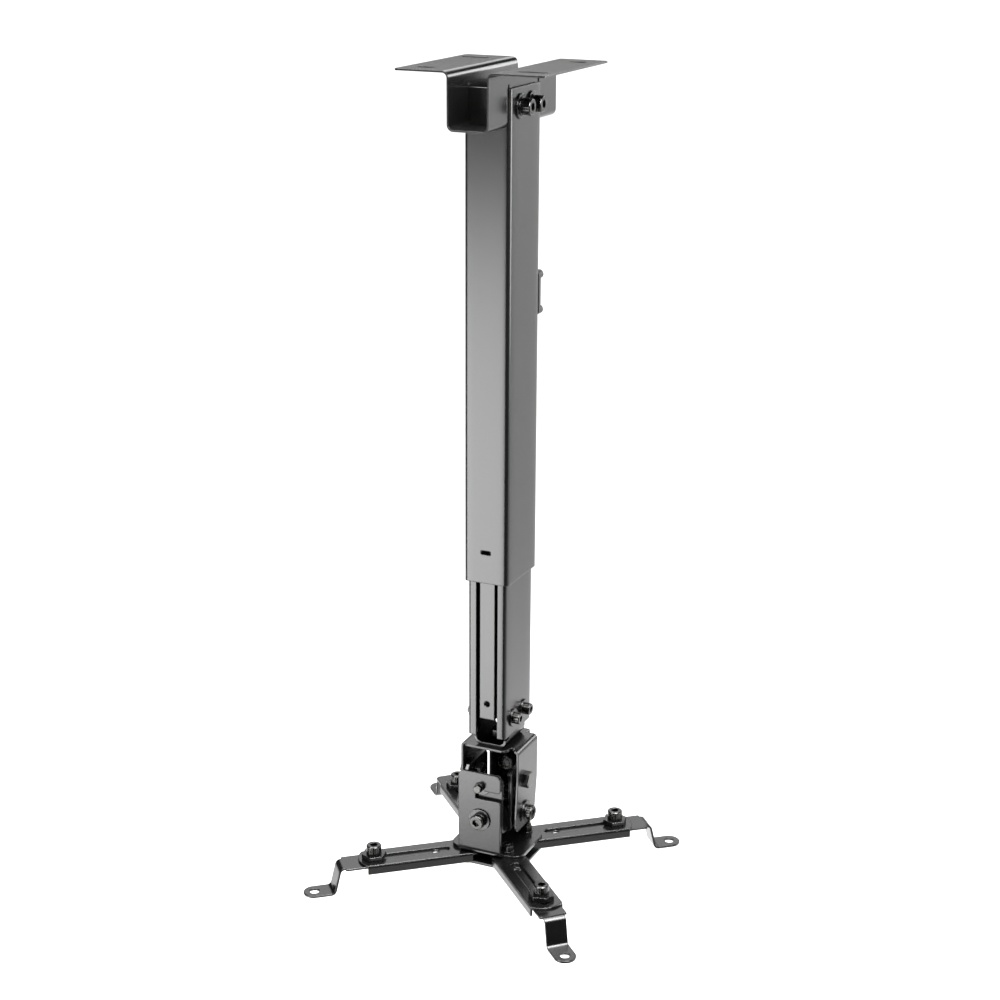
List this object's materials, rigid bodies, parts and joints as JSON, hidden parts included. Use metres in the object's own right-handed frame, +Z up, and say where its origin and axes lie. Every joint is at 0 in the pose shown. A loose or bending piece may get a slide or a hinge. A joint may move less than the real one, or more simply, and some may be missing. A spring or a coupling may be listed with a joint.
{
  "type": "projector ceiling mount",
  "caption": "Telescopic ceiling mount with a folded bracket, sliding box column, swivelling tilt head and spider arms with sliding feet.",
  "frame": {"origin": "centre of the ceiling hole pattern, on top of the bracket's flanges", "axes": "+Z up into the ceiling, +X across the bracket's channel, +Y along it"},
  "size_m": [0.2673, 0.2545, 0.7023],
  "materials": {
    "coated_tube": "black satin powder coat on steel tube",
    "coated_sheet": "black satin powder coat on folded steel sheet",
    "black_screw": "black oxide on steel screws",
    "black_nut": "black zinc on steel nuts, washers and spacers",
    "clip_plastic": "moulded black nylon"
  },
  "bodies": {
    "ceiling_part": {"ceiling_bracket": "coated_sheet", "outer_tube": "coated_tube", "top_bolts": "black_screw", "top_washers": "black_nut", "top_lock_rings": "black_nut", "top_nuts": "black_nut", "cable_clip": "clip_plastic", "column_lock_nuts": "black_nut", "column_lock_screws": "black_screw"},
    "column": {"inner_tube": "coated_tube", "slot_strip": "coated_sheet", "tube_foot": "coated_sheet", "tube_foot_bolts": "black_screw", "tube_foot_washers": "black_nut", "tube_foot_nuts": "black_nut", "swivel_bolt": "black_screw", "swivel_nut": "black_nut"},
    "swivel_yoke": {"upper_yoke": "coated_sheet"},
    "tilt_block": {"tilt_block": "coated_sheet", "tilt_block_nuts": "black_nut", "tilt_spacers": "black_nut", "roll_spacers": "black_nut", "tilt_pins": "black_screw", "tilt_lock_screws": "black_screw", "tilt_lock_rings": "black_nut", "tilt_lock_washers": "black_nut", "roll_pins": "black_screw", "roll_lock_screws": "black_screw", "roll_lock_rings": "black_nut", "roll_lock_washers": "black_nut"},
    "lower_head": {"lower_yoke": "coated_sheet", "under_plate": "coated_sheet", "arm_pivot_screws": "black_screw", "arm_pivot_washers": "black_nut", "arm_pivot_nuts": "black_nut"},
    "arm_front_right": {"arm_front_right": "coated_sheet"},
    "foot_front_right": {"foot_front_right": "coated_sheet", "foot_screw_front_right": "black_screw", "foot_collar_front_right": "black_nut", "foot_nut_front_right": "black_nut"},
    "arm_back_right": {"arm_back_right": "coated_sheet"},
    "foot_back_right": {"foot_back_right": "coated_sheet", "foot_screw_back_right": "black_screw", "foot_collar_back_right": "black_nut", "foot_nut_back_right": "black_nut"},
    "arm_front_left": {"arm_front_left": "coated_sheet"},
    "foot_front_left": {"foot_front_left": "coated_sheet", "foot_screw_front_left": "black_screw", "foot_collar_front_left": "black_nut", "foot_nut_front_left": "black_nut"},
    "arm_back_left": {"arm_back_left": "coated_sheet"},
    "foot_back_left": {"foot_back_left": "coated_sheet", "foot_screw_back_left": "black_screw", "foot_collar_back_left": "black_nut", "foot_nut_back_left": "black_nut"}
  },
  "joints": [
    {"name": "column_slide", "type": "slide", "parent": "ceiling_part", "child": "column", "axis": [0, 0, 1], "range_m": [-0.1, 0.06]},
    {"name": "head_swivel", "type": "hinge", "parent": "column", "child": "swivel_yoke", "pos_m": [0, 0, -0.577], "axis": [0, 0, 1], "range_deg": [-180, 180]},
    {"name": "head_tilt", "type": "hinge", "parent": "swivel_yoke", "child": "tilt_block", "pos_m": [0, -0.0055, -0.609], "axis": [1, 0, 0], "range_deg": [-8, 8]},
    {"name": "head_roll", "type": "hinge", "parent": "tilt_block", "child": "lower_head", "pos_m": [-0.002, -0.003, -0.609], "axis": [0, 1, 0], "range_deg": [-8, 8]},
    {"name": "arm_swing_front_right", "type": "hinge", "parent": "lower_head", "child": "arm_front_right", "pos_m": [0.0185, -0.0235, -0.6753], "axis": [0, 0, 1], "range_deg": [-15, 15]},
    {"name": "foot_slide_front_right", "type": "slide", "parent": "arm_front_right", "child": "foot_front_right", "axis": [0.7034, -0.7108, 0], "range_m": [-0.008, 0.007]},
    {"name": "arm_swing_back_right", "type": "hinge", "parent": "lower_head", "child": "arm_back_right", "pos_m": [0.0185, 0.0175, -0.6753], "axis": [0, 0, 1], "range_deg": [-15, 15]},
    {"name": "foot_slide_back_right", "type": "slide", "parent": "arm_back_right", "child": "foot_back_right", "axis": [0.766, 0.6428, 0], "range_m": [-0.008, 0.005]},
    {"name": "arm_swing_front_left", "type": "hinge", "parent": "lower_head", "child": "arm_front_left", "pos_m": [-0.0185, -0.0235, -0.6753], "axis": [0, 0, 1], "range_deg": [-15, 15]},
    {"name": "foot_slide_front_left", "type": "slide", "parent": "arm_front_left", "child": "foot_front_left", "axis": [-0.7683, -0.6401, 0], "range_m": [-0.008, 0.003]},
    {"name": "arm_swing_back_left", "type": "hinge", "parent": "lower_head", "child": "arm_back_left", "pos_m": [-0.0185, 0.0175, -0.6753], "axis": [0, 0, 1], "range_deg": [-15, 15]},
    {"name": "foot_slide_back_left", "type": "slide", "parent": "arm_back_left", "child": "foot_back_left", "axis": [-0.6984, 0.7157, 0], "range_m": [-0.008, 0.003]}
  ]
}
